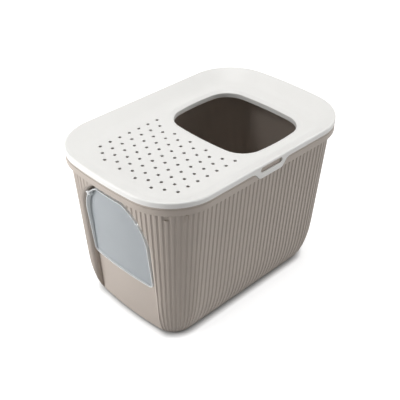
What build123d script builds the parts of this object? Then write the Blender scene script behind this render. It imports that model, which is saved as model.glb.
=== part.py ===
from build123d import *
from math import atan2, cos, degrees, hypot, radians, sin, sqrt, tan
import os

os.makedirs("parts", exist_ok=True)

# Frame: +Z up, origin on the floor under the middle of the box. The long side lies
# along Y, the flap end faces -Y and the two latch tabs face +X and -X. Millimetres.

# ---- overall box ----
box_length = 585.0          # along Y, over the lid
box_width = 390.0           # along X, over the lid
box_height = 395.0          # floor to the crest of the lid
plan_corner_radius = 116.0  # corners of the lid seen from above
end_bow_radius = 990.0      # the two short ends bow outwards

# ---- lid ----
lid_wall = 2.5
skirt_height = 13.0
crest_radius = 3.5
dish_angle = 30.0           # slope of the dish below horizontal
dish_depth = 22.5           # crest to the flat floor of the dish
dish_blend_radius = 40.0
lid_edge_radius = 0.9       # lower outer edge of the skirt and the tabs
dish_root_radius = 1.0      # inside corner between skirt and dish
dish_land = 2.5             # flat rim of the dish floor beyond the blend

entry_half_x = 126.0
entry_half_y = 108.3
entry_corner_radius = 56.9
entry_bow_x = 790.0         # bow of the edges that face +-Y
entry_bow_y = 500.0         # bow of the edges that face +-X
entry_back_margin = 86.1    # back end of the lid to the entry hole
funnel_width = 9.0
funnel_drop = 5.3
entry_flange_drop = 11.5
funnel_land = 4.0           # flat rim of the dish floor that surrounds the funnel
funnel_top_radius = 9.0
funnel_lip_radius = 2.2
flange_edge_radius = 1.1
floor_overlap = 1.0         # dish floor sheet overlaps the rims it joins

vent_diameter = 7.6
vent_row_pitch = 24.09      # between neighbouring rows, along X
vent_pitch = 27.36          # inside one row, along Y
vent_rows = 11
vents_per_row = 7
vent_front_margin = 71.54   # front end of the lid to the first vent

tab_half_top = 51.0         # sloping sides of the tab, at the skirt
tab_half_bottom = 34.5
tab_root_radius = 20.0
tab_tip_radius = 14.0
tab_root_height = 6.0       # tab plate overlaps the skirt
tab_shoulder = 29.0         # plate beyond the sloping sides
tab_slot_length = 66.0
tab_slot_height = 12.6
tab_slot_drop = 12.0        # crest to the middle of the slot

# ---- rim band of the tub ----
band_inset = 0.7            # band behind the skirt
band_height = 19.0
band_wall = 3.0
band_plate = 4.0
band_step = 0.8             # shallow neck right under the skirt
band_step_height = 4.6
band_edge_radius = 2.2
band_step_radius = 0.6
neck_inset = 1.0            # tub wall under the band, behind the body outline
neck_overlap = 1.5
upstand_height = 6.0
upstand_wall = 3.0
lid_play = 0.8              # lid skirt to the upstand, all round
pocket_margin = 1.2         # latch tab to the edges of its pocket

# ---- tub body ----
body_overhang = 12.6        # lid outline to the body under the band
body_corner_radius = 97.0
wall_draft = 4.49
tub_wall = 4.5              # over the lands of the flutes
floor_thickness = 3.0
foot_depth = 32.0           # the wall curves in by this much down to the floor
foot_height = 108.0         # and starts to curve at this height
foot_steps = 7

flute_pitch = 12.35
flute_land = 4.9
flute_depth = 2.0
flute_runout = 8.0          # flutes fade out over this height under the band
flute_foot_runout = 8.0     # and over this height above the floor
flute_fade = 0.05           # depth that is left at both ends of a flute
plain_front_half = 58.0     # no flutes on the front above the arch

# ---- recess in the front end ----
arch_half_width = 102.0
arch_top_drop = 46.0        # crest of the lid to the top of the arch
arch_rise = 99.0            # arch top to the height where its sides start to curve
arch_side_radius = 106.2
arch_top_radius = 25.0
mouth_radius = 12.0         # rounded edge between the recess and the outside
mouth_proud = 0.6           # the rounding is laid out this far in front of the lands
mouth_backing = 12.0        # solid ring behind the rounding, wider than the arch
recess_depth = 21.0
recess_wall = 3.0
liner_bite = 1.0            # liner starts this far behind the bottoms of the flutes
panel_top = 165.0

# ---- flap ----
flap_gap = 6.2              # flap rim to the sides of the arch
flap_top_gap = 9.0
flap_bottom = 136.0
flap_top_radius = 20.0
flap_corner_radius = 12.0
flap_rim_top_inset = 2.5    # rim behind the front surface, at the top of the flap
flap_rim_foot_inset = 11.5  # and at its lower edge
flap_face_inset = 16.0      # front of the sheet behind the front surface
flap_sheet = 2.0
flap_inner_radius = 3.0
flap_back_radius = 1.5
flap_rim_radius = 0.7
pivot_drop = 42.0           # arch top to the pivot
pivot_inset = 12.5          # pivot behind the front surface, on the middle line
pin_diameter = 5.0
pin_clearance = 0.08        # radial, pin to bearing
pin_engagement = 8.0
pin_end_gap = 1.0           # pin tip to the bottom of its bearing
lug_diameter = 9.0
lug_side_gap = 0.8          # flap lug to the side of the arch
lug_root = 6.0              # lug reaches this far into the tray
boss_diameter = 9.0
boss_end_wall = 2.5
boss_root = 5.0             # boss starts this far inside the arch and is cut flush
stop_gap = 0.4              # flap back to the stop pads
stop_half_spacing = 60.0
stop_size = 12.0
stop_drop = 9.0             # panel top to the middle of the stop pads

# ---- scoop hook features in one corner ----
hook_slot_width = 14.0
hook_slot_height = 8.0
hook_slot_depth = 3.2
hook_slot_drop = 46.0       # crest of the lid to the middle of the slot
hook_slot_angle = -50.0     # plan direction of the slot
hook_nib_angle = -26.0
hook_nib_width = 4.5
hook_nib_height = 13.0
hook_nib_depth = 2.6

# ---- derived ----
half_width = box_width / 2
half_length = box_length / 2
skirt_bottom = box_height - skirt_height
band_bottom = skirt_bottom - band_height
dish_floor = box_height - dish_depth
draft_slope = tan(radians(wall_draft))
reach = box_length          # length of cutters that must clear the box
bottom_margin = 10.0        # cutters reach this far below the floor


# ---------------------------------------------------------------- plan outlines
def bow_geometry(half_x, half_y, corner, bow):
    """Corner centre height, bow centre and the angle where corner meets bow."""
    bow_centre = half_y - bow
    corner_centre = bow_centre + sqrt((bow - corner) ** 2 - (half_x - corner) ** 2)
    join_angle = degrees(atan2(corner_centre - bow_centre, half_x - corner))
    return corner_centre, bow_centre, join_angle


def plan_runs(half_x, half_y, corner, bow):
    """Outline with straight long sides and bowed ends, as line and arc runs."""
    corner_y, bow_y, join = bow_geometry(half_x, half_y, corner, bow)
    corner_x = half_x - corner
    return [
        ("side", (half_x, -corner_y), (half_x, corner_y)),
        ("corner", (corner_x, corner_y), corner, 0, join),
        ("back", (0, bow_y), bow, join, 180 - join),
        ("corner", (-corner_x, corner_y), corner, 180 - join, 180),
        ("side", (-half_x, corner_y), (-half_x, -corner_y)),
        ("corner", (-corner_x, -corner_y), corner, 180, 180 + join),
        ("front", (0, -bow_y), bow, 180 + join, 360 - join),
        ("corner", (corner_x, -corner_y), corner, 360 - join, 360),
    ]


def run_point(run, share, depth=0.0):
    """Point at a share of a run, set inwards by depth."""
    if run[0] == "side":
        (x0, y0), (x1, y1) = run[1], run[2]
        span = hypot(x1 - x0, y1 - y0)
        x = x0 + (x1 - x0) * share - (y1 - y0) / span * depth
        y = y0 + (y1 - y0) * share + (x1 - x0) / span * depth
        return x, y
    (cx, cy), radius, start, end = run[1:]
    angle = radians(start + (end - start) * share)
    return cx + (radius - depth) * cos(angle), cy + (radius - depth) * sin(angle)


def run_length(run):
    if run[0] == "side":
        return hypot(run[2][0] - run[1][0], run[2][1] - run[1][1])
    return run[2] * radians(run[4] - run[3])


def draw_runs(runs):
    """Draw the runs of a plain outline into the active BuildLine."""
    for run in runs:
        if run[0] == "side":
            Line(run[1], run[2])
        else:
            ThreePointArc(run_point(run, 0), run_point(run, 0.5), run_point(run, 1))


def plan_face(inset, z, half_x, half_y, corner, bow):
    """Plain outline at height z, set inwards on all sides."""
    with BuildSketch(Plane.XY.offset(z)) as face:
        with BuildLine():
            draw_runs(plan_runs(half_x - inset, half_y - inset, corner - inset, bow - inset))
        make_face()
    return face.sketch


def lid_face(inset, z):
    return plan_face(inset, z, half_width, half_length, plan_corner_radius, end_bow_radius)


def body_face(inset, z):
    return plan_face(inset, z, half_width - body_overhang, half_length - body_overhang,
                     body_corner_radius, end_bow_radius - body_overhang)


# ---------------------------------------------------------------- tub surfaces
def draft_inset(z):
    """How far the drafted wall lies behind its line at the band."""
    return (band_bottom - z) * draft_slope


def wall_levels(inset, floor_z):
    """Heights and insets of a drafted wall that curves in towards its floor."""
    depth, height = foot_depth - inset, foot_height - floor_z
    levels = []
    for step in range(foot_steps + 1):
        turn = radians(90) * (1 - step / foot_steps)
        level_z = floor_z + height * (1 - sin(turn))
        levels.append((level_z, inset + draft_inset(level_z) + depth * (1 - cos(turn))))
    return levels


def envelope(inset, floor_z, top_z):
    """Plain solid parallel to the outside of the tub, set inwards by inset."""
    levels = wall_levels(inset, floor_z)
    levels.append((top_z, inset + draft_inset(top_z)))
    sections = [body_face(level_inset, level_z) for level_z, level_inset in levels]
    with BuildPart() as solid:
        loft(sections=sections, ruled=True)
    return solid.part


def flute_layout():
    """Which runs carry flutes and how many, counted once at the top of the body."""
    runs = plan_runs(half_width - body_overhang, half_length - body_overhang,
                     body_corner_radius, end_bow_radius - body_overhang)
    layout = []
    for run in runs:
        count = max(1, round(run_length(run) / flute_pitch))
        flutes = list(range(count))
        if run[0] == "front":
            flutes = [i for i in flutes
                      if abs(run_point(run, (i + 0.5) / count)[0]) > plain_front_half]
        layout.append((count, flutes))
    return layout


def fluted_face(inset, z, depth, layout):
    """Outline of the body at height z with its flutes cut to depth."""
    runs = plan_runs(half_width - body_overhang - inset, half_length - body_overhang - inset,
                     body_corner_radius - inset, end_bow_radius - body_overhang - inset)
    land = flute_land / flute_pitch / 2
    grooves = []
    for run, (count, flutes) in zip(runs, layout):
        for i in flutes:
            grooves.append((run, (i + land) / count, (i + 1 - land) / count))
    edges = []
    for (run, start, end), after in zip(grooves, grooves[1:] + grooves[:1]):
        edges.append(Edge.make_three_point_arc(
            Vector(*run_point(run, start)),
            Vector(*run_point(run, (start + end) / 2, depth)),
            Vector(*run_point(run, end))))
        here, there = Vector(*run_point(run, end)), Vector(*run_point(after[0], after[1]))
        if after[0] is run and after[1] - end > end - start:
            middle = Vector(*run_point(run, (end + after[1]) / 2))
            edges.append(Edge.make_three_point_arc(here, middle, there))
        else:
            edges.append(Edge.make_line(here, there))
    with BuildSketch(Plane.XY.offset(z)) as face:
        with BuildLine():
            add(edges)
        make_face()
    return face.sketch


def fluted_body():
    """Outside of the tub: drafted, fluted, with the flutes running into the floor."""
    layout = flute_layout()
    sections = []
    for level_z, level_inset in wall_levels(0, 0):
        share = min(1.0, level_z / flute_foot_runout)
        depth = flute_fade + (flute_depth - flute_fade) * share
        sections.append(fluted_face(level_inset, level_z, depth, layout))
    full_top = band_bottom - flute_runout
    sections.append(fluted_face(draft_inset(full_top), full_top, flute_depth, layout))
    sections.append(fluted_face(0, band_bottom, flute_fade, layout))
    with BuildPart() as body:
        loft(sections=sections, ruled=True)
    return body.part


# ---------------------------------------------------------------- front recess
arch_top = box_height - arch_top_drop
arch_spring = arch_top - arch_rise  # the sides of the arch start to curve here
cutter_start = half_length / 2      # upright cutters start well inside the tub


def front_block(top_inset, foot_inset=None):
    """Solid behind a surface that bows like the front end, wider than the recess.

    top_inset holds under the band and foot_inset on the floor, both behind the
    drafted wall. It ends at the middle of the box and reaches below the floor.
    """
    foot_inset = top_inset if foot_inset is None else foot_inset
    half = arch_half_width + 2 * mouth_backing
    low_z = -bottom_margin
    lean = (foot_inset - top_inset) / band_bottom
    sections = []
    for z in (low_z, band_bottom):
        inset = top_inset + lean * (band_bottom - z) + draft_inset(z)
        front = half_length - body_overhang - inset
        bow = end_bow_radius - body_overhang - inset
        side = front - bow + sqrt(bow ** 2 - half ** 2)
        with BuildSketch(Plane.XY.offset(z)) as section:
            with BuildLine():
                ThreePointArc((-half, -side), (0, -front), (half, -side))
                Polyline((half, -side), (half, 0), (-half, 0), (-half, -side))
            make_face()
        sections.append(section.sketch)
    with BuildPart() as block:
        loft(sections=sections, ruled=True)
    return block.part


def arch_half_at(z, gap=0.0):
    """Half width of the arch at height z, gap inside its outline."""
    radius = arch_side_radius - gap
    return arch_half_width - arch_side_radius + sqrt(radius ** 2 - (z - arch_spring) ** 2)


def arch_prism(top, bottom, gap, top_radius, corner_radius=0.0):
    """Prism towards -Y of the arch outline, gap inside it, from bottom to top."""
    side = arch_half_width - gap
    radius = arch_side_radius - gap
    centre = side - radius
    turn = (top - arch_spring) / radius
    half_top = arch_half_at(top, gap)
    bend = radians(45) * turn           # a point part of the way round the side arc
    mid_x, mid_z = centre + radius * cos(bend), arch_spring + radius * sin(bend)
    with BuildPart() as prism:
        with BuildSketch(Plane.XZ.offset(cutter_start)) as outline:
            with BuildLine():
                Polyline((-side, arch_spring), (-side, bottom), (side, bottom),
                         (side, arch_spring))
                ThreePointArc((side, arch_spring), (mid_x, mid_z), (half_top, top))
                Line((half_top, top), (-half_top, top))
                ThreePointArc((-half_top, top), (-mid_x, mid_z), (-side, arch_spring))
            make_face()
            fillet([v for v in outline.vertices() if abs(v.Y - top) < 0.001], top_radius)
            if corner_radius:
                fillet([v for v in outline.vertices() if abs(v.Y - bottom) < 0.001],
                       corner_radius)
        extrude(amount=reach)
    return prism.part


def recess_prism(bottom, grow=0.0):
    return arch_prism(arch_top + grow, bottom, -grow, arch_top_radius + grow)


def mouth_body():
    """Plain body round the recess, with the rounded edge of its mouth."""
    sections = [body_face(draft_inset(z) - mouth_proud, z) for z in (-bottom_margin, band_bottom)]
    with BuildPart() as body:
        loft(sections=sections, ruled=True)
        add(recess_prism(-reach), mode=Mode.SUBTRACT)
        walls = body.faces().filter_by(
            lambda f: abs(f.normal_at().Y) < 0.001 and -half_length < f.center().Y < -cutter_start
            and abs(f.center().X) < arch_half_width + 0.001 and f.center().Z > 0)
        rim = [e for e in walls.edges() if abs(e.tangent_at(0.5).Y) < 0.5
               and e.center().Y < -cutter_start - recess_depth and e.center().Z > 0]
        fillet(rim, mouth_radius)
    return body.part


def recess_liner(shell):
    """Wall around and behind the recess, inside the tub, and the ring at its mouth."""
    with BuildPart() as liner:
        add(recess_prism(-reach, mouth_backing))
        add(front_block(mouth_radius + recess_wall), mode=Mode.SUBTRACT)
        add(recess_prism(-reach, recess_wall))
        add(shell, mode=Mode.INTERSECT)
        add(front_block(recess_depth + recess_wall), mode=Mode.SUBTRACT)
    return liner.part


def recess_cutter():
    """Room in front of the panel, with its rounded mouth."""
    with BuildPart() as cutter:
        add(recess_prism(-reach, mouth_radius))
        add(mouth_body(), mode=Mode.SUBTRACT)
        add(front_block(recess_depth), mode=Mode.SUBTRACT)
    return cutter.part


# ---------------------------------------------------------------- flap hinge line
pivot_z = arch_top - pivot_drop
pivot_y = -half_length + body_overhang + draft_inset(pivot_z) + pivot_inset
pivot_wall = arch_half_at(pivot_z)      # side of the arch at the height of the pivot
bearing_end = pivot_wall + pin_engagement + pin_end_gap


def cross_rod(diameter, start, end, side):
    """Rod along X on the hinge line, from start to end, on one side."""
    with BuildPart() as rod:
        with BuildSketch(Plane.YZ.offset(side * start)):
            with Locations((pivot_y, pivot_z)):
                Circle(diameter / 2)
        extrude(amount=side * (end - start))
    return rod.part


# ---------------------------------------------------------------- latch tab
def tab_plate(side, near_x, thickness, margin=0.0, edge=0.0):
    """Plate with the outline of the latch tab, from near_x outwards on one side.

    margin grows the outline, edge rounds its lower outer edge.
    """
    top = skirt_bottom + tab_root_height
    far = tab_half_top + tab_shoulder
    with BuildPart() as plate:
        with BuildSketch(Plane.YZ.offset(side * near_x)) as outline:
            with BuildLine():
                Polyline((-far, top), (-far, skirt_bottom), (-tab_half_top, skirt_bottom),
                         (-tab_half_bottom, band_bottom), (tab_half_bottom, band_bottom),
                         (tab_half_top, skirt_bottom), (far, skirt_bottom), (far, top),
                         close=True)
            make_face()
            levels = outline.vertices().group_by(Axis.Y)
            fillet(levels[0], tab_tip_radius)
            roots = [v for v in outline.vertices() if abs(v.Y - skirt_bottom) < 0.001
                     and abs(abs(v.X) - tab_half_top) < 0.001]
            fillet(roots, tab_root_radius)
            if margin:
                offset(amount=margin)
        extrude(amount=side * thickness)
        if edge:
            outer = plate.faces().sort_by(Axis.X)[-1 if side > 0 else 0]
            fillet([e for e in outer.edges() if e.center().Z < skirt_bottom + edge], edge)
    return plate.part


# ---------------------------------------------------------------- tub
upstand_inset = lid_wall + lid_play


def rim_band():
    """Turned-down rim with its ledge, the upstand and the pockets behind the tabs."""
    step_z = skirt_bottom - band_step_height
    with BuildPart() as band:
        with BuildSketch(Plane.XY.offset(band_bottom)):
            add(lid_face(band_inset, 0))
        extrude(amount=step_z - band_bottom)
        fillet(band.faces().sort_by(Axis.Z)[0].edges(), band_edge_radius)
        fillet(band.faces().sort_by(Axis.Z)[-1].edges(), band_step_radius)
        with BuildSketch(Plane.XY.offset(band_bottom + band_edge_radius)):
            add(lid_face(band_inset + band_step, 0))
        extrude(amount=skirt_bottom - band_bottom - band_edge_radius)
        with BuildSketch(Plane.XY.offset(band_bottom)):
            add(lid_face(band_inset + band_wall, 0))
        extrude(amount=band_height - band_plate, mode=Mode.SUBTRACT)
        with BuildSketch(Plane.XY.offset(skirt_bottom - band_plate / 2)):
            add(lid_face(upstand_inset, 0))
            add(lid_face(upstand_inset + upstand_wall, 0), mode=Mode.SUBTRACT)
        extrude(amount=upstand_height + band_plate / 2)
        for side in (1, -1):
            add(tab_plate(side, half_width - upstand_inset, body_overhang, pocket_margin),
                mode=Mode.SUBTRACT)
            back_x = half_width - upstand_inset - upstand_wall / 2
            with Locations((side * back_x, 0, (band_bottom + skirt_bottom) / 2)):
                Box(upstand_wall, 2 * (tab_half_top + tab_shoulder), band_height)
        with BuildSketch(Plane.XY.offset(band_bottom - neck_overlap)):
            add(body_face(neck_inset, 0))
        extrude(amount=neck_overlap + band_height - band_plate / 2)
    return band.part


def corner_pad(angle, width, height, depth, sunk):
    """Block on the outside of the front right corner at a plan angle.

    It reaches depth outwards and sunk inwards from the outside of the body.
    """
    centre_z = box_height - hook_slot_drop
    inset = draft_inset(centre_z)
    corner_y, _, _ = bow_geometry(half_width - body_overhang, half_length - body_overhang,
                                  body_corner_radius, end_bow_radius - body_overhang)
    radius = body_corner_radius - inset
    centre = (half_width - body_overhang - body_corner_radius, -corner_y)
    turn = radians(angle)
    middle = radius + (depth - sunk) / 2
    with BuildPart() as pad:
        with Locations(Location((centre[0] + middle * cos(turn),
                                 centre[1] + middle * sin(turn), centre_z), (0, 0, angle))):
            Box(depth + sunk, width, height)
    return pad.part


def stop_pads():
    """Two pads on the panel that the closed flap comes to rest against."""
    with BuildPart() as pads:
        with Locations(*[(side * stop_half_spacing, -half_length,
                          panel_top - stop_drop) for side in (1, -1)]):
            Box(stop_size, box_length, stop_size)
        add(front_block(flap_back + stop_gap), mode=Mode.INTERSECT)
        add(front_block(recess_depth + recess_wall / 2), mode=Mode.SUBTRACT)
    return pads.part


def tub_fittings(cavity, recess):
    """Everything that joins the fluted shell: band, liner, bearings and pads."""
    shell = envelope(flute_depth + liner_bite, 0, band_bottom)
    with BuildPart() as fittings:
        add(rim_band())
        add(cavity, mode=Mode.SUBTRACT)
        add(recess_liner(shell))
        for side in (1, -1):
            add(cross_rod(boss_diameter, pivot_wall - boss_root,
                          bearing_end + boss_end_wall, side))
        add(recess, mode=Mode.SUBTRACT)
        add(recess_prism(panel_top), mode=Mode.SUBTRACT)
        add(stop_pads())
    return fittings.part


def make_tub():
    """Fluted tub with its rim band and the recess for the flap, one moulding."""
    cavity = envelope(tub_wall, floor_thickness, box_height)
    recess = recess_cutter()
    slot = corner_pad(hook_slot_angle, hook_slot_width, hook_slot_height,
                      flute_depth, hook_slot_depth)
    nib = corner_pad(hook_nib_angle, hook_nib_width, hook_nib_height,
                     hook_nib_depth, flute_depth + liner_bite)
    bearings = [cross_rod(pin_diameter + 2 * pin_clearance, pivot_wall - boss_root,
                          bearing_end, side) for side in (1, -1)]
    with BuildPart() as tub:
        add(fluted_body())
        add([cavity, recess, slot], mode=Mode.SUBTRACT)
        add([tub_fittings(cavity, recess), nib])
        add(bearings, mode=Mode.SUBTRACT)
    tub.part.label = "tub"
    export_step(tub.part, "parts/tub.step")


# ---------------------------------------------------------------- flap
flap_top = arch_top - flap_top_gap
flap_back = flap_face_inset + flap_sheet


def flap_prism(inside=0.0):
    """Outline of the flap, inside its edge by a wall."""
    return arch_prism(flap_top - inside, flap_bottom + inside, flap_gap + inside,
                      flap_top_radius - inside, flap_corner_radius - inside)


def flap_rim_block():
    """Solid behind the leaning plane that the rim of the flap ends in."""
    lean = (flap_rim_foot_inset - flap_rim_top_inset) / (flap_top - flap_bottom)
    return front_block(flap_rim_top_inset - lean * (band_bottom - flap_top),
                       flap_rim_foot_inset + lean * flap_bottom)


def make_flap():
    """Swing flap: a shallow tray with lugs and hinge pins, one moulding."""
    with BuildPart() as hollow:
        add(flap_prism(flap_sheet))
        add(front_block(flap_face_inset), mode=Mode.SUBTRACT)
        fillet(hollow.faces().sort_by(Axis.Y)[-1].edges(), flap_inner_radius)
    with BuildPart() as flap:
        add(flap_prism())
        add(flap_rim_block(), mode=Mode.INTERSECT)
        add(front_block(flap_back), mode=Mode.SUBTRACT)
        fillet(flap.faces().sort_by(SortBy.AREA)[-2:].sort_by(Axis.Y)[-1].edges(),
               flap_back_radius)
        add(hollow.part, mode=Mode.SUBTRACT)
        rim_face = flap.faces().sort_by(lambda f: f.bounding_box().min.Y)[0]
        fillet(rim_face.edges(), flap_rim_radius)
        lug_start = arch_half_at(pivot_z, flap_gap) - lug_root
        lug_end = arch_half_at(pivot_z + lug_diameter / 2) - lug_side_gap
        for side in (1, -1):
            add(cross_rod(lug_diameter, lug_start, lug_end, side))
            add(cross_rod(pin_diameter, lug_start, bearing_end - pin_end_gap, side))
    flap.part.label = "front_flap"
    export_step(flap.part, "parts/front_flap.step")


# ---------------------------------------------------------------- lid
def entry_runs(outset):
    """Outline of the entry hole, four bowed edges with round corners.

    It starts in the middle of the edge that faces +X and runs round anticlockwise.
    """
    half_x, half_y = entry_half_x + outset, entry_half_y + outset
    bow_x, bow_y = entry_bow_x + outset, entry_bow_y + outset
    corner = entry_corner_radius + outset
    # a corner centre lies (bow - corner) away from the centres of both bows
    end_centre, side_centre = half_y - bow_x, half_x - bow_y
    end_reach, side_reach = bow_x - corner, bow_y - corner
    span = hypot(side_centre, end_centre)
    along = (span ** 2 + end_reach ** 2 - side_reach ** 2) / (2 * span)
    off = sqrt(end_reach ** 2 - along ** 2)
    dir_x, dir_y = side_centre / span, -end_centre / span
    corner_x = along * dir_x + off * dir_y
    corner_y = end_centre + along * dir_y - off * dir_x
    low = degrees(atan2(corner_y, corner_x - side_centre))
    high = degrees(atan2(corner_y - end_centre, corner_x))
    mid_y = half_length - entry_back_margin - entry_half_y
    return [
        ("bow", (side_centre, mid_y), bow_y, 0, low),
        ("corner", (corner_x, mid_y + corner_y), corner, low, high),
        ("bow", (0, mid_y + end_centre), bow_x, high, 180 - high),
        ("corner", (-corner_x, mid_y + corner_y), corner, 180 - high, 180 - low),
        ("bow", (-side_centre, mid_y), bow_y, 180 - low, 180 + low),
        ("corner", (-corner_x, mid_y - corner_y), corner, 180 + low, 180 + high),
        ("bow", (0, mid_y - end_centre), bow_x, 180 + high, 360 - high),
        ("corner", (corner_x, mid_y - corner_y), corner, 360 - high, 360 - low),
        ("bow", (side_centre, mid_y), bow_y, 360 - low, 360),
    ]


def ring_sweep(runs, points, radii):
    """Sweep a section once round an outline that starts off along +Y.

    The section is given as (inset, z) points; radii rounds its corners by index.
    """
    start = run_point(runs[0], 0)
    with BuildPart() as ring:
        with BuildLine() as path:
            draw_runs(runs)
        plane = Plane(origin=(start[0], start[1], 0), x_dir=(-1, 0, 0), z_dir=(0, 1, 0))
        with BuildSketch(plane) as section:
            with BuildLine():
                Polyline(*points, close=True)
            make_face()
            for index, radius in radii.items():
                px, pz = points[index]
                fillet([v for v in section.vertices()
                        if hypot(v.X - px, v.Y - pz) < 0.001], radius)
        sweep(path=path.wires()[0])
    return ring.part


def dish_section():
    """Section of the skirt, the crest and the sloping side of the dish."""
    slope = tan(radians(dish_angle))
    skew = 1 / cos(radians(dish_angle))
    edge_z = box_height + crest_radius * (skew - 1 + slope)
    dish_inset = (edge_z - dish_floor) / slope
    blend = (dish_blend_radius + lid_wall) * tan(radians(dish_angle / 2))
    end_inset = dish_inset + blend + dish_land
    under_z = edge_z - lid_wall * skew
    under_floor = dish_floor - lid_wall
    points = [
        (0, skirt_bottom),
        (0, edge_z),
        (dish_inset, dish_floor),
        (end_inset, dish_floor),
        (end_inset, under_floor),
        ((under_z - under_floor) / slope, under_floor),
        (lid_wall, under_z - lid_wall * slope),
        (lid_wall, skirt_bottom),
    ]
    radii = {0: lid_edge_radius, 1: crest_radius, 2: dish_blend_radius,
             5: dish_blend_radius + lid_wall, 6: dish_root_radius}
    return points, radii, end_inset


def funnel_section():
    """Section of the funnel and turned-down flange round the entry hole."""
    fall = funnel_drop / funnel_width
    skew = sqrt(1 + fall ** 2)
    lip_z = dish_floor - funnel_drop
    flange_z = lip_z - entry_flange_drop
    under_floor = dish_floor - lid_wall
    under_z = lip_z - lid_wall * skew
    end = funnel_width + funnel_land
    points = [
        (-end, dish_floor),
        (-funnel_width, dish_floor),
        (0, lip_z),
        (0, flange_z),
        (-lid_wall, flange_z),
        (-lid_wall, under_z + lid_wall * fall),
        (-(under_floor - under_z) / fall, under_floor),
        (-end, under_floor),
    ]
    radii = {1: funnel_top_radius, 2: funnel_lip_radius, 3: flange_edge_radius,
             4: flange_edge_radius, 6: funnel_top_radius + lid_wall}
    return points, radii, end


def vent_points():
    """Centres of the vents: rows along Y, every other row set back by half a pitch."""
    first_y = -half_length + vent_front_margin
    points = []
    for row in range(vent_rows):
        x = (row - (vent_rows - 1) / 2) * vent_row_pitch
        shift = vent_pitch / 2 if row % 2 else 0.0
        if row in (0, vent_rows - 1):
            shift = vent_pitch
        for place in range(vents_per_row):
            points.append((x, first_y + shift + place * vent_pitch))
    return points


def make_lid():
    """Dished lid with the entry hole, the vents and both latch tabs, one moulding."""
    rim_runs = plan_runs(half_width, half_length, plan_corner_radius, end_bow_radius)
    dish_points, dish_radii, dish_end = dish_section()
    funnel_points, funnel_radii, funnel_end = funnel_section()
    with BuildPart() as lid:
        add(ring_sweep(rim_runs, dish_points, dish_radii))
        add(ring_sweep(entry_runs(0), funnel_points, funnel_radii))
        with BuildSketch(Plane.XY.offset(dish_floor - lid_wall)):
            add(lid_face(dish_end - floor_overlap, 0))
            with BuildLine():
                draw_runs(entry_runs(funnel_end - floor_overlap))
            make_face(mode=Mode.SUBTRACT)
            with Locations(*vent_points()):
                Circle(vent_diameter / 2, mode=Mode.SUBTRACT)
        extrude(amount=lid_wall)
        for side in (1, -1):
            add(tab_plate(side, half_width - lid_wall, lid_wall, edge=lid_edge_radius))
            with BuildSketch(Plane.YZ.offset(side * (half_width - upstand_inset))):
                with Locations((0, box_height - tab_slot_drop)):
                    SlotOverall(tab_slot_length, tab_slot_height)
            extrude(amount=side * upstand_inset, mode=Mode.SUBTRACT)
    lid.part.label = "lid"
    export_step(lid.part, "parts/lid.step")


make_tub()
make_lid()
make_flap()
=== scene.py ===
import math

import bpy
from mathutils import Matrix, Vector

MM = 0.001

# ---- camera: above the corner between the flap end and a long side ----
CAMERA_AZIMUTH = 44.94
CAMERA_ELEVATION = 34.90
CAMERA_ROLL = 0.38
CAMERA_DISTANCE = 1870.6 * MM
CAMERA_TARGET = Vector((-5.4, -7.6, 200.0)) * MM
CAMERA_LENS = 72.93        # in millimetres, on a sensor this wide:
CAMERA_SENSOR = 36.0
CAMERA_SHIFT = (0.0012, -0.0005)

# ---- light: soft from above, a slant over the flap end that reaches into the entry hole,
# ---- a key box near the flap end and a wide fill from behind; angles are in degrees ----
SKY_STRENGTH = 0.145
TOP_STRENGTH = 2.1
TOP_ANGLE = 28.0
TOP_DIRECTION = Vector((0.0, 0.0, 1.0))
FILL_STRENGTH = 1.30
FILL_ANGLE = 42.0
FILL_DIRECTION = Vector((0.54, 0.80, 0.15))
SLANT_STRENGTH = 0.37
SLANT_ANGLE = 16.0
SLANT_DIRECTION = Vector((-0.22, -0.80, 0.62))
KEY_POWER = 12.8
KEY_SIZE = 550 * MM
KEY_PLACE = Vector((-806.0, -1291.0, 408.0)) * MM
KEY_AIM = Vector((0.0, -290.0, 200.0)) * MM
CONTACT_REACH = 22 * MM    # the floor's glow fades this close to the box: a painted contact shadow
CONTACT_SHUT = 0.25        # share of open sky at which the floor has lost all its glow
CONTACT_OPEN = 0.80        # share of open sky at which the floor is fully white
FLOOR_GLOW = 0.74          # what the floor adds to its own lit white
FLOOR_SIZE = 16.0
FLOOR_DROP = 0.3 * MM      # keeps the floor off the underside of the tub

# ---- the flap: its sheet lies on a bowed front that leans in towards the floor ----
END_BOW_CENTRE_Y = 697.5 * MM      # the short end is an arc about this centre
SHEET_RADIUS_AT_FLOOR = 932.9 * MM
FRONT_LEAN = 0.0785                # gain in radius per height
RIM_HIGHLIGHT_RISE = (0.6 * MM, 2.4 * MM)    # painted highlight on the flap's border fades in over this height off the sheet

# ---- moulded skin: sizes of the grain and of the broad flow marks, and the grain's height ----
SATIN_GRAIN, SATIN_FLOW, SATIN_DEPTH = 1.6 * MM, 90 * MM, 0.05 * MM
FROST_GRAIN, FROST_FLOW, FROST_DEPTH = 1.2 * MM, 60 * MM, 0.03 * MM
ROUGHNESS = (0.42, 0.56)           # from the lows of the grain to its highs
GRAIN_BUMP = 0.5
POLYPROPYLENE_IOR = 1.49
FROST_CLEAR = 0.12                 # share of light that goes straight through the flap
FROST_SCATTER = 0.5                # share that spreads inside it
FROST_SCATTER_REACH = 6 * MM

# ---- colours, sRGB ----
TAUPE = "#BAAFA5"
TAUPE_SHADE = "#B3A89F"
WHITE = "#EFEEEB"
WHITE_SHADE = "#E9E8E5"
SMOKE = "#ACB1B5"
SMOKE_SHADE = "#A6ACB0"
# painted highlight colour for the flap's raised border
SMOKE_RIM_HIGHLIGHT = "#E4E7E8"
FLOOR_WHITE = "#BEBEBE"


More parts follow.
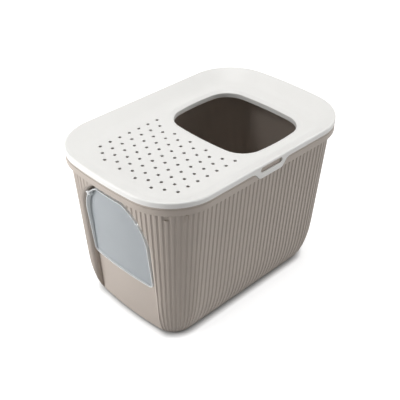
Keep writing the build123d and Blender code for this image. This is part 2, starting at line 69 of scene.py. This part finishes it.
def linear(hex_colour):
    """An sRGB hex colour as the linear RGBA that a shader socket takes."""
    channels = []
    for place in (1, 3, 5):
        value = int(hex_colour[place:place + 2], 16) / 255
        if value <= 0.04045:
            channels.append(value / 12.92)
        else:
            channels.append(((value + 0.055) / 1.055) ** 2.4)
    return (*channels, 1.0)


def add_node(tree, kind, settings=(), sockets=(), links=()):
    """Adds one node: its settings, its socket values and what feeds its sockets."""
    node = tree.nodes.new(kind)
    for name, value in dict(settings).items():
        setattr(node, name, value)
    for name, value in dict(sockets).items():
        node.inputs[name].default_value = value
    for name, source in dict(links).items():
        tree.links.new(source, node.inputs[name])
    return node


def new_material(name):
    """A material with an empty node tree."""
    material = bpy.data.materials.new(name)
    material.use_nodes = True
    material.node_tree.nodes.clear()
    return material, material.node_tree


def finish_material(tree, shader):
    """Sends the shader to the material's output."""
    add_node(tree, "ShaderNodeOutputMaterial", links={"Surface": shader})


def moulded_surface(tree, colour, shade, grain, flow, depth):
    """Colour, roughness and bump of a moulded skin: fine grain over broad flow marks.

    grain and flow are the sizes of the two patterns, depth is the height of the grain.
    """
    place = add_node(tree, "ShaderNodeTexCoord").outputs["Object"]
    broad = add_node(tree, "ShaderNodeTexNoise", sockets={"Scale": 1 / flow, "Detail": 3.0},
                     links={"Vector": place})
    fine = add_node(tree, "ShaderNodeTexNoise",
                    sockets={"Scale": 1 / grain, "Detail": 2.0, "Roughness": 0.6},
                    links={"Vector": place})
    tone = add_node(tree, "ShaderNodeMix", {"data_type": "RGBA"},
                    links={"Factor": broad.outputs["Fac"]})
    tone.inputs[6].default_value = linear(colour)
    tone.inputs[7].default_value = linear(shade)
    rough = add_node(tree, "ShaderNodeMapRange",
                     sockets={"To Min": ROUGHNESS[0], "To Max": ROUGHNESS[1]},
                     links={"Value": fine.outputs["Fac"]})
    bump = add_node(tree, "ShaderNodeBump",
                    sockets={"Strength": GRAIN_BUMP, "Distance": depth},
                    links={"Height": fine.outputs["Fac"]})
    return tone.outputs[2], rough.outputs["Result"], bump.outputs["Normal"]


def moulded_polypropylene(name, colour, shade):
    """Opaque injection-moulded polypropylene: a satin skin with a faint eroded grain."""
    material, tree = new_material(name)
    tone, rough, normal = moulded_surface(tree, colour, shade,
                                          SATIN_GRAIN, SATIN_FLOW, SATIN_DEPTH)
    shader = add_node(tree, "ShaderNodeBsdfPrincipled", sockets={"IOR": POLYPROPYLENE_IOR},
                      links={"Base Color": tone, "Roughness": rough, "Normal": normal})
    finish_material(tree, shader.outputs["BSDF"])
    return material


def height_off_sheet(tree):
    """How far a point of the flap stands in front of its sheet."""
    place = add_node(tree, "ShaderNodeTexCoord").outputs["Object"]
    flat = add_node(tree, "ShaderNodeVectorMath", {"operation": "MULTIPLY"},
                    links={0: place})
    flat.inputs[1].default_value = (1.0, 1.0, 0.0)
    away = add_node(tree, "ShaderNodeVectorMath", {"operation": "DISTANCE"},
                    links={0: flat.outputs["Vector"]})
    away.inputs[1].default_value = (0.0, END_BOW_CENTRE_Y, 0.0)
    upright = add_node(tree, "ShaderNodeSeparateXYZ", links={0: place})
    sheet = add_node(tree, "ShaderNodeMath", {"operation": "MULTIPLY_ADD"},
                     sockets={1: FRONT_LEAN, 2: SHEET_RADIUS_AT_FLOOR},
                     links={0: upright.outputs["Z"]})
    return add_node(tree, "ShaderNodeMath", {"operation": "SUBTRACT"},
                    links={0: away.outputs["Value"], 1: sheet.outputs[0]}).outputs[0]


def frosted_polypropylene(name, colour, shade, rim_highlight_colour):
    """Milky translucent polypropylene: light passes, shapes behind it blur away.

    The thin sheet lets the dark inside show through. In front of the sheet the border's colour
    is raised towards a pale tone: a painted highlight.
    """
    material, tree = new_material(name)
    tone, rough, normal = moulded_surface(tree, colour, shade,
                                          FROST_GRAIN, FROST_FLOW, FROST_DEPTH)
    # painted highlight: the border standing in front of the sheet is lightened towards a pale
    # colour
    rim_highlight_mask = add_node(tree, "ShaderNodeMapRange",
                     sockets={"From Min": RIM_HIGHLIGHT_RISE[0], "From Max": RIM_HIGHLIGHT_RISE[1]},
                     links={"Value": height_off_sheet(tree)})
    both = add_node(tree, "ShaderNodeMix", {"data_type": "RGBA"},
                    links={"Factor": rim_highlight_mask.outputs["Result"], 6: tone})
    both.inputs[7].default_value = linear(rim_highlight_colour)
    shader = add_node(tree, "ShaderNodeBsdfPrincipled",
                      sockets={"IOR": POLYPROPYLENE_IOR,
                               "Transmission Weight": FROST_CLEAR,
                               "Subsurface Weight": FROST_SCATTER,
                               "Subsurface Scale": FROST_SCATTER_REACH,
                               "Subsurface Radius": (1.0, 1.0, 1.0)},
                      links={"Base Color": both.outputs[2], "Roughness": rough,
                             "Normal": normal})
    finish_material(tree, shader.outputs["BSDF"])
    return material


def seen_by_eye(tree):
    """1 for what the camera sees, straight or in gloss and glass, 0 for lighting rays."""
    ray = add_node(tree, "ShaderNodeLightPath")
    first = add_node(tree, "ShaderNodeMath", {"operation": "ADD"},
                     links={0: ray.outputs["Is Camera Ray"], 1: ray.outputs["Is Glossy Ray"]})
    seen = add_node(tree, "ShaderNodeMath", {"operation": "ADD", "use_clamp": True},
                    links={0: first.outputs[0], 1: ray.outputs["Is Transmission Ray"]})
    return seen.outputs[0]


def painted_floor():
    """Matt studio floor: white to the camera; near the box its glow fades with ambient
    occlusion, a painted contact shadow over the real one.
    """
    material, tree = new_material("matt_studio_paint")
    # painted contact shadow: ambient occlusion takes the floor's glow away close to the box
    near = add_node(tree, "ShaderNodeAmbientOcclusion",
                    sockets={"Distance": CONTACT_REACH})
    open_sky = add_node(tree, "ShaderNodeMapRange",
                        sockets={"From Min": CONTACT_SHUT, "From Max": CONTACT_OPEN,
                                 "To Max": FLOOR_GLOW},
                        links={"Value": near.outputs["AO"]})
    lift = add_node(tree, "ShaderNodeMath", {"operation": "MULTIPLY"},
                    links={0: seen_by_eye(tree), 1: open_sky.outputs["Result"]})
    paint = add_node(tree, "ShaderNodeBsdfDiffuse", sockets={"Color": linear(FLOOR_WHITE)})
    glow = add_node(tree, "ShaderNodeEmission", links={"Strength": lift.outputs[0]})
    both = add_node(tree, "ShaderNodeAddShader", links={0: paint.outputs[0],
                                                        1: glow.outputs[0]})
    finish_material(tree, both.outputs[0])
    return material


def dress(node, material):
    """Gives a CAD node its finish in every one of its material slots."""
    for slot in node.material_slots:
        slot.material = material
    if not node.material_slots:
        node.data.materials.append(material)


def deselect_all():
    """Leaves nothing selected, so the next operator works on its own object alone."""
    for other in bpy.context.selected_objects:
        other.select_set(False)


def make_floor():
    """A wide plane just under the tub, staged so that it isn't part of the object."""
    deselect_all()
    bpy.ops.mesh.primitive_plane_add(size=FLOOR_SIZE, location=(0, 0, -FLOOR_DROP))
    floor = bpy.context.object
    floor.name = "studio_floor"
    bpy.ops.object.transform_apply(location=True)
    floor.data.materials.append(painted_floor())


def make_sky():
    """Even white surroundings: a plain level for the light, pure white to the camera."""
    world = bpy.data.worlds.new("studio")
    bpy.context.scene.world = world
    world.use_nodes = True
    tree = world.node_tree
    tree.nodes.clear()
    level = add_node(tree, "ShaderNodeMapRange",
                     sockets={"To Min": SKY_STRENGTH, "To Max": 1.0},
                     links={"Value": seen_by_eye(tree)})
    sky = add_node(tree, "ShaderNodeBackground", sockets={"Color": linear("#FFFFFF")},
                   links={"Strength": level.outputs["Result"]})
    add_node(tree, "ShaderNodeOutputWorld", links={"Surface": sky.outputs[0]})


def add_light(name, kind, strength, direction):
    """A light that shines from the given direction."""
    lamp = bpy.data.lights.new(name, kind)
    lamp.energy = strength
    light = bpy.data.objects.new(name, lamp)
    light.rotation_mode = "QUATERNION"
    light.rotation_quaternion = direction.to_track_quat("Z", "Y")
    bpy.context.collection.objects.link(light)
    return light


def make_lights():
    """Three soft suns and one large area lamp near the flap end."""
    top = add_light("top", "SUN", TOP_STRENGTH, TOP_DIRECTION)
    top.data.angle = math.radians(TOP_ANGLE)
    fill = add_light("fill", "SUN", FILL_STRENGTH, FILL_DIRECTION)
    fill.data.angle = math.radians(FILL_ANGLE)
    slant = add_light("slant", "SUN", SLANT_STRENGTH, SLANT_DIRECTION)
    slant.data.angle = math.radians(SLANT_ANGLE)
    key = add_light("key", "AREA", KEY_POWER, KEY_PLACE - KEY_AIM)
    key.location = KEY_PLACE
    key.data.size = KEY_SIZE


def make_camera():
    """Looks at the target from the given azimuth and elevation, turned a little by the roll."""
    azimuth, elevation = math.radians(CAMERA_AZIMUTH), math.radians(CAMERA_ELEVATION)
    roll = math.radians(CAMERA_ROLL)
    back = Vector((math.sin(azimuth) * math.cos(elevation),
                   -math.cos(azimuth) * math.cos(elevation), math.sin(elevation)))
    right = Vector((math.cos(azimuth), math.sin(azimuth), 0.0))
    up = back.cross(right)
    turned_right = right * math.cos(roll) + up * math.sin(roll)
    turned_up = up * math.cos(roll) - right * math.sin(roll)
    data = bpy.data.cameras.new("camera")
    data.lens = CAMERA_LENS
    data.sensor_width = CAMERA_SENSOR
    data.shift_x, data.shift_y = CAMERA_SHIFT
    camera = bpy.data.objects.new("camera", data)
    turn = Matrix((turned_right, turned_up, back)).transposed().to_4x4()
    camera.matrix_world = Matrix.Translation(CAMERA_TARGET + back * CAMERA_DISTANCE) @ turn
    bpy.context.collection.objects.link(camera)
    bpy.context.scene.camera = camera


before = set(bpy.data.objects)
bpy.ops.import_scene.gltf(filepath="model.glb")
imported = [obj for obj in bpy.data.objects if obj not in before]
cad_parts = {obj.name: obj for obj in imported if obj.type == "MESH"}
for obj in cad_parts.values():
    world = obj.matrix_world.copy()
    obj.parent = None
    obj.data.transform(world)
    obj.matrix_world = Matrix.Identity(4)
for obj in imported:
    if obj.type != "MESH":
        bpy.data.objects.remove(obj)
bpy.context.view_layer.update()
bpy.context.scene.view_settings.view_transform = "Standard"

make_camera()
make_sky()
make_lights()
make_floor()

taupe = moulded_polypropylene("moulded_polypropylene_taupe", TAUPE, TAUPE_SHADE)
white = moulded_polypropylene("moulded_polypropylene_white", WHITE, WHITE_SHADE)
smoke = frosted_polypropylene("frosted_polypropylene_smoke", SMOKE, SMOKE_SHADE, SMOKE_RIM_HIGHLIGHT)
dress(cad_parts["tub"], taupe)
dress(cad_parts["lid"], white)
dress(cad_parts["front_flap"], smoke)
